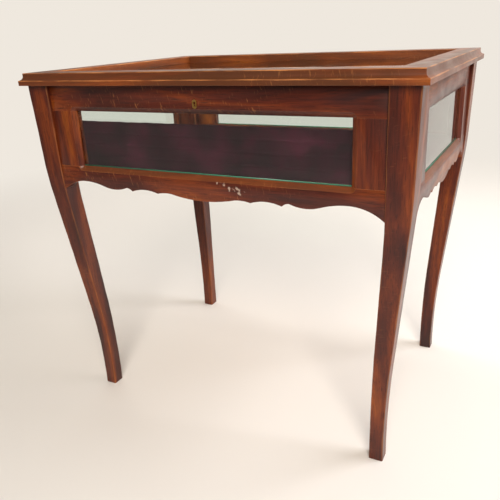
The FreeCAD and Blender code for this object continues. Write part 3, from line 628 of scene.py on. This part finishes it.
def velvet_facing():
    """A strip of velvet that stands on the lining, against the beads behind the front pane.

    Its depth is that of the beads' faces and the strip's room, less the pressed lines and the swell.
    Its upper edge is slightly frayed, by the same slow waves as a rubbed arris.
    """
    width = np.linspace(-LEG_NOTCH[0], LEG_NOTCH[0], round(2 * LEG_NOTCH[0] / VELVET_STEP))
    height = np.arange(FACING_TOP, VELVET_HIGH[2] - FACING_STEP / 2, -FACING_STEP)
    x, rise = np.meshgrid(width, height, indexing="ij")
    y = VELVET_LOW[1] + FACING_ROOM + FACING_SWELL * (pile_swell(x, rise) - 1)
    y = y - PRESS_DEPTH * pile_line(rise - VELVET_HIGH[2], FACING_LINE)
    tall = FACING_TOP - VELVET_HIGH[2]
    z = rise - FRAY * rub(FRAY_PACE * x, FRAY_SEED) * (rise - VELVET_HIGH[2]) / tall
    dropped = np.zeros((len(width) - 1, len(height) - 1), dtype=bool)
    piece = velvet_sheet("velvet_facing", np.stack([x, y, z], axis=-1), dropped)


velvet_floor()
velvet_facing()

# Lid
LID_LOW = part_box("lid_member_left")[0][2]
LID_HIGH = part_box("lid_member_left")[1][2]
LID_HALF = (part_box("lid_member_right")[1][0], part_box("lid_member_back")[1][1])
MEMBER = 51.5 * MM
BAND, COVE_TOP, SETBACK, COVE_BOW = 10 * MM, 17.6 * MM, 7.5 * MM, 2 * MM
REBATE_WIDE, REBATE_HIGH = 8 * MM, 7 * MM
INNER = MEMBER - REBATE_WIDE
COVE_STEPS, NOSE_STEPS = 8, 5
# How far each arris of the section is taken back, before the rubbing.
FOOT_NOSE, BAND_NOSE, FILLET_NOSE = 0.8 * MM, 1.5 * MM, 1.3 * MM
SIGHT_NOSE, REBATE_NOSE, INNER_NOSE = 1.6 * MM, 0.5 * MM, 0.4 * MM
RUB_LEAST, RUB_MORE = 0.7, 0.7
LID_SEED = 50
LID_CREASE = math.radians(35)
STATION_STEP = 12 * MM
# The slope of a pocket's wall, the margins where no pocket starts, and what counts as the underside.
WALL = 0.2 * MM
OUTER_MARGIN, INNER_MARGIN = 2 * MM, 1 * MM
UNDERSIDE = 0.01 * MM
LEAF, KNUCKLE, KNUCKLE_ROOM = 1.5 * MM, 4.5 * MM, 1 * MM
BOLT_SLACK, BOLT_ROOM = 1 * MM, 8 * MM


def lid_pockets(side):
    """What is let into a member from below: (low x, high x, low inset, high inset, depth) of each."""
    edge = LID_HALF[1]
    if side == "front":
        (low_x, low_y, _), (high_x, high_y, _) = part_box("strike_plate")
        (bolt_low_x, bolt_low_y, _), (bolt_high_x, bolt_high_y, _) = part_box("lock_bolt")
        mortise = (bolt_low_x - BOLT_SLACK, bolt_high_x + BOLT_SLACK,
                   edge + bolt_low_y - BOLT_SLACK, edge + bolt_high_y + BOLT_SLACK, BOLT_ROOM)
        return [(low_x, high_x, edge + low_y, edge + high_y, LEAF), mortise]
    pockets = []
    if side == "back":
        for end in ("left", "right"):
            (low_x, low_y, _), (high_x, high_y, _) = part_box(f"hinge_{end}_case_leaf")
            axis = edge - (high_y - KNUCKLE)
            room = KNUCKLE + KNUCKLE_ROOM
            # The back member is turned half round, so its own x runs the other way.
            pockets.append((-high_x, -low_x, axis, edge - low_y, LEAF))
            pockets.append((-high_x - KNUCKLE_ROOM, -low_x + KNUCKLE_ROOM, axis - room, axis + room, room))
    return pockets


def lid_profile(rubbing):
    """A member's section, as insets and heights for each station: band, cove, fillet, top and rebate.

    The cove is an arc on its chord. An arris with directions a and b away from its corner is the
    curve corner + t ((1 - w)^2 a + w^2 b), where t grows with the rubbing at that station.
    """
    tall = LID_HIGH - LID_LOW
    share = np.linspace(0, 1, COVE_STEPS + 2)[1:-1]
    chord = np.array([SETBACK, COVE_TOP - BAND])
    inward = np.array([chord[1], -chord[0]]) / np.hypot(*chord)
    start = np.array([0, BAND])
    cove = start + share[:, None] * chord + 4 * COVE_BOW * (share * (1 - share))[:, None] * inward
    cove_way = (cove[0] - start) / np.hypot(*(cove[0] - start))
    out, back, up, down = (-1, 0), (1, 0), (0, 1), (0, -1)
    w = np.linspace(0, 1, NOSE_STEPS + 1)
    section, slots = [], []

    def nose(corner, before, after, size, slot):
        """Adds an arris, rounded between the ways before and after it."""
        turn = np.outer((1 - w) ** 2, before) + np.outer(w**2, after)
        section.append(np.array(corner) + (size * rubbing)[:, None, None] * turn)
        slots.extend([slot] * NOSE_STEPS + [PLAIN])

    def plain(points):
        """Adds points that no rubbing moves."""
        section.append(np.broadcast_to(points, (len(rubbing), *points.shape)))
        slots.extend([PLAIN] * len(points))

    nose((0, 0), back, up, FOOT_NOSE, PLAIN)
    nose((0, BAND), down, cove_way, BAND_NOSE, WORN)
    plain(cove)
    plain(np.array([[SETBACK, COVE_TOP]]))
    nose((SETBACK, tall), down, back, FILLET_NOSE, WORN)
    nose((MEMBER, tall), out, down, SIGHT_NOSE, WORN)
    nose((MEMBER, REBATE_HIGH), up, out, REBATE_NOSE, PLAIN)
    plain(np.array([[INNER, REBATE_HIGH]]))
    nose((INNER, 0), up, out, INNER_NOSE, PLAIN)
    return np.concatenate(section, axis=1), slots


def lid_member(side, seed):
    """A mitred member: its section carried along its length, each end cut back by its inset.

    The underside is a height over length and inset, which steps up over each pocket.
    """
    half, reach = LID_HALF if GRAIN[side] == "x" else LID_HALF[::-1]
    pockets = lid_pockets(side)
    steps_x = [value for low, high, *_ in pockets for value in (low - WALL, low, high, high + WALL)]
    steps_u = [value for _, _, low, high, _ in pockets for value in (low - WALL, low, high, high + WALL)]
    middle = np.arange(-half + MEMBER, half - MEMBER, STATION_STEP)
    station = np.unique(np.concatenate([[-half], middle, [half - MEMBER], steps_x, [half]]))
    section, slots = lid_profile(RUB_LEAST + RUB_MORE * rub(station, seed))
    under = np.unique(steps_u)[::-1]
    under = under[(under > OUTER_MARGIN) & (under < INNER - INNER_MARGIN)]
    inset = np.hstack([section[..., 0], np.broadcast_to(under, (len(station), len(under)))])
    height = np.hstack([section[..., 1], np.zeros((len(station), len(under)))])
    along = np.clip(station[:, None], inset - half, half - inset)
    beneath = height < UNDERSIDE
    for low_x, high_x, low_u, high_u, depth in pockets:
        held = (along > low_x - WALL / 2) & (along < high_x + WALL / 2)
        held &= (inset > low_u - WALL / 2) & (inset < high_u + WALL / 2)
        height = np.where(held & beneath, np.maximum(height, depth), height)
    x, y = turned(along, inset - reach, side)
    points = np.stack([x, y, LID_LOW + height], axis=-1)
    rings, around = x.shape
    slots = np.concatenate([np.tile(slots + [PLAIN] * len(under), rings - 1), [PLAIN, PLAIN]])
    # The lid's members take the lighter oak: partly painted light on the lid's lit top, partly sun fading.
    piece = piece_from_grid(f"lid_member_{side}_oak", points, tube_faces(rings, around, flipped=True),
                            [FADED_AND_LIT_OAK[GRAIN[side]], WORN_OAK[GRAIN[side]]], slots)
    piece.data.set_sharp_from_angle(angle=LID_CREASE)
    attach(piece, "lid")
    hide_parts(f"lid_member_{side}")


for seed, side in enumerate(SIDES, LID_SEED):
    lid_member(side, seed)

# Rails and stiles
SOFT_EDGE = 0.9 * MM
EDGE_STEPS = 2
EDGE_ANGLE = math.radians(32)
FLAT_ANGLE = math.radians(0.6)
MERGE = 0.002 * MM
# A sill's moulded faces are those that neither face the side squarely nor lie square to it. They take the
# lighter oak, as a painted highlight where the moulding faces the light.
MOULDED_LEAST, MOULDED_MOST = 0.15, 0.95


def softened(name, side, grain):
    """A copy of a CAD node, merged, with its arrises rounded and rubbed, and its sill's moulding lightened as
    a painted highlight.
    """
    mesh = bpy.data.meshes.new(name + "_oak")
    shell = bmesh.new()
    shell.from_mesh(frame["nodes"][name].data)
    bmesh.ops.remove_doubles(shell, verts=shell.verts, dist=MERGE)
    bmesh.ops.dissolve_limit(shell, angle_limit=FLAT_ANGLE, verts=shell.verts, edges=shell.edges)
    shell.to_mesh(mesh)
    shell.free()
    mesh.materials.clear()
    mesh.materials.append(OAK[grain])
    mesh.materials.append(WORN_OAK[grain])
    slots = np.full(len(mesh.polygons), PLAIN, dtype=np.int32)
    if name.endswith("bottom_rail"):
        mesh.materials.append(FADED_AND_LIT_OAK[grain])
        normals = np.empty(3 * len(mesh.polygons))
        mesh.polygons.foreach_get("normal", normals)
        facing = np.abs(normals.reshape(-1, 3)[:, 0 if GRAIN[side] == "y" else 1])
        # The moulded faces of the sill get the lighter oak: a painted highlight where they catch light from
        # above.
        slots[(facing > MOULDED_LEAST) & (facing < MOULDED_MOST)] = FADED_AND_LIT
    mesh.polygons.foreach_set("material_index", slots)
    mesh.polygons.foreach_set("use_smooth", np.ones(len(mesh.polygons), dtype=bool))
    piece = bpy.data.objects.new(name + "_oak", mesh)
    bpy.context.scene.collection.objects.link(piece)
    edge = piece.modifiers.new("worn_arris", "BEVEL")
    edge.width = SOFT_EDGE
    edge.segments = EDGE_STEPS
    edge.limit_method = "ANGLE"
    edge.angle_limit = EDGE_ANGLE
    edge.material = WORN
    edge.harden_normals = True
    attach(piece, "case")
    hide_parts(name)


# Pane edges
EDGE_HIGH, EDGE_DEEP, EDGE_POINTS = 2.4 * MM, 1.2 * MM, 12
SIGHT_HALF = {"front": 288 * MM, "back": 288 * MM, "right": 186 * MM, "left": 186 * MM}
SIGHT_LOW = 563 * MM


def pane_edge(side):
    """The ground lower edge of a pane, seen green over the sill: a small rounded bar along it.

    Its section is an ellipse, whose points go round by angle, carried from end to end.
    """
    low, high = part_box(f"{side}_pane")
    depth = 1 if GRAIN[side] == "x" else 0
    face = max(abs(low[depth]), abs(high[depth]))
    angle = np.linspace(0, math.tau, EDGE_POINTS, endpoint=False)
    along = np.array([-SIGHT_HALF[side], SIGHT_HALF[side]])[:, None] + 0 * angle
    out = -face - EDGE_DEEP / 2 + EDGE_DEEP / 2 * np.sin(angle) + 0 * along
    height = SIGHT_LOW + EDGE_HIGH / 2 - EDGE_HIGH / 2 * np.cos(angle) + 0 * along
    points = np.stack([*turned(along, out, side), height], axis=-1)
    piece = piece_from_grid(f"{side}_pane_edge", points, tube_faces(*along.shape), [GLASS_EDGE])
    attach(piece, "case")


for side in SIDES:
    pane_edge(side)
    softened(f"{side}_top_rail", side, GRAIN[side])
    softened(f"{side}_bottom_rail", side, GRAIN[side])
    for end in STILES[side]:
        softened(f"{side}_stile_{end}", side, "z")
    finish_node(f"{side}_pane", GLASS)
    finish_node(f"{side}_pane_beads", OAK[GRAIN[side]])
    finish_node(f"base_bearer_{side}", PINE[GRAIN[side]])
finish_node("base_board", PINE["x"])
finish_node("lid_glass", GLASS)
finish_node("lid_glass_beads", OAK["x"])
for name in frame["nodes"]:
    if name.startswith(("hinge_", "escutcheon")):
        finish_node(name, BRASS)
    if name.startswith(("lock_", "strike_")):
        finish_node(name, STEEL)

# Floor and backdrop
FLOOR_PAINT = "#e6e1da"
BACKDROP_PAINT = "#efe8de"
FADE_FROM, FADE_TO = 1.3, 3.0
FLOOR_REACH = 6.0
WALL_DISTANCE = 2.6
WALL_SWEEP = 0.8
SWEEP_POINTS = 24
WALL_HEIGHT = 4.0


def matt_paper():
    """Matt paper: it takes a soft shadow near the table, and is evenly pale further off.

    The even part is there only where it is looked at directly or through a pane.
    """
    material, tree = blank("matt_paper")
    paper = add(tree, "ShaderNodeBsdfPrincipled", {"Base Color": paint(FLOOR_PAINT), "Roughness": 0.85})[0]
    even = add(tree, "ShaderNodeEmission", {"Color": paint(BACKDROP_PAINT), "Strength": 1.0})[0]
    spot = add(tree, "ShaderNodeTexCoord")["Object"]
    away = add(tree, "ShaderNodeVectorMath", {0: spot}, operation="LENGTH")["Value"]
    fade = add(tree, "ShaderNodeMapRange", {
        "Value": away,
        "From Min": FADE_FROM,
        "From Max": FADE_TO,
    }, interpolation_type="SMOOTHSTEP")[0]
    share = add(tree, "ShaderNodeMath", {0: fade, 1: seen_straight(tree)}, operation="MULTIPLY")[0]
    shown = add(tree, "ShaderNodeMixShader", {0: share, 1: paper, 2: even})[0]
    add(tree, "ShaderNodeOutputMaterial", {"Surface": shown})
    return material


def studio_floor():
    """A pale sheet: flat floor, a quarter circle up behind, and a wall."""
    angle = np.linspace(0, math.pi / 2, SWEEP_POINTS)
    back = WALL_DISTANCE + WALL_SWEEP * np.sin(angle)
    rise = WALL_SWEEP * (1 - np.cos(angle))
    path_y = np.concatenate([[-FLOOR_REACH], back, [back[-1]]])
    path_z = np.concatenate([[0], rise, [WALL_HEIGHT]])
    x, y = np.meshgrid([-FLOOR_REACH, FLOOR_REACH], path_y, indexing="ij")
    points = np.stack([x, y, np.broadcast_to(path_z, x.shape)], axis=-1)
    faces = grid_quads(*x.shape).reshape(-1, 4).tolist()
    piece_from_grid("studio_floor", points, faces, [matt_paper()])


studio_floor()


# Light
def lamp(name, spot, aim, size, watts, colour, spread=math.pi, mirrored=True):
    """A soft rectangular lamp at a spot, turned to its aim. Glass and varnish show only a mirrored one."""
    light = bpy.data.lights.new(name, "AREA")
    light.shape = "RECTANGLE"
    light.size, light.size_y = size
    light.energy = watts
    light.spread = spread
    light.color = paint(colour)[:3]
    holder = bpy.data.objects.new(name, light)
    holder.location = spot
    holder.visible_glossy = mirrored
    holder.visible_transmission = mirrored
    holder.rotation_euler = (Vector(aim) - Vector(spot)).to_track_quat("-Z", "Y").to_euler()
    bpy.context.scene.collection.objects.link(holder)


TABLE_MIDDLE = (0.0, 0.0, 0.5)
WALL_MIDDLE = (-0.8, 3.0, 1.2)
lamp("window_light", (2.4, 0.9, 2.2), TABLE_MIDDLE, size=(1.8, 1.8), watts=74, colour="#f8f9ff")
lamp("front_fill", (1.3, -2.5, 2.3), TABLE_MIDDLE, size=(1.6, 1.6), watts=32, colour="#fff8f0",
     spread=math.radians(90))
lamp("wall_light", (-0.6, 0.9, 3.2), WALL_MIDDLE, size=(3.0, 1.0), watts=66, colour="#fffcf8", mirrored=False)


def pale_room():
    """The world: dim where the panes mirror it, and pale where it is looked at, also through a pane."""
    world = bpy.data.worlds.new("pale_room")
    world.use_nodes = True
    tree = world.node_tree
    tree.nodes.clear()
    dim = add(tree, "ShaderNodeBackground", {"Color": paint("#f3efe8"), "Strength": 0.22})[0]
    pale = add(tree, "ShaderNodeBackground", {"Color": paint(BACKDROP_PAINT), "Strength": 1.0})[0]
    shown = add(tree, "ShaderNodeMixShader", {0: seen_straight(tree), 1: dim, 2: pale})[0]
    add(tree, "ShaderNodeOutputWorld", {"Surface": shown})
    bpy.context.scene.world = world


pale_room()

# Camera. It stands to the right of the front, above the lid, and looks down. Its angles are in
# radians, and its focal length is in pixels of the photograph's 500 pixel frame.
CAMERA_SPOT = Vector((568.753 * MM, -1159.5 * MM, 810.302 * MM))
CAMERA_YAW, CAMERA_PITCH, CAMERA_ROLL = -0.49519, -0.3666, -0.0495
FOCAL_PIXELS, FRAME_PIXELS = 571.701, 500
SENSOR = 36


def photo_camera():
    """A camera whose axes follow from its yaw and pitch, then from a roll about its line of sight."""
    forward = Vector((
        math.sin(CAMERA_YAW) * math.cos(CAMERA_PITCH),
        math.cos(CAMERA_YAW) * math.cos(CAMERA_PITCH),
        math.sin(CAMERA_PITCH),
    ))
    level = Vector((math.cos(CAMERA_YAW), -math.sin(CAMERA_YAW), 0))
    upright = level.cross(forward)
    right = math.cos(CAMERA_ROLL) * level + math.sin(CAMERA_ROLL) * upright
    up = math.cos(CAMERA_ROLL) * upright - math.sin(CAMERA_ROLL) * level
    lens = bpy.data.cameras.new("photo_camera")
    lens.sensor_width = SENSOR
    lens.lens = SENSOR * FOCAL_PIXELS / FRAME_PIXELS
    camera = bpy.data.objects.new("photo_camera", lens)
    turn = Matrix((right, up, -forward)).transposed().to_4x4()
    camera.matrix_world = Matrix.Translation(CAMERA_SPOT) @ turn
    bpy.context.scene.collection.objects.link(camera)
    bpy.context.scene.camera = camera


photo_camera()
bpy.context.scene.view_settings.view_transform = "Standard"

bpy.context.view_layer.update()
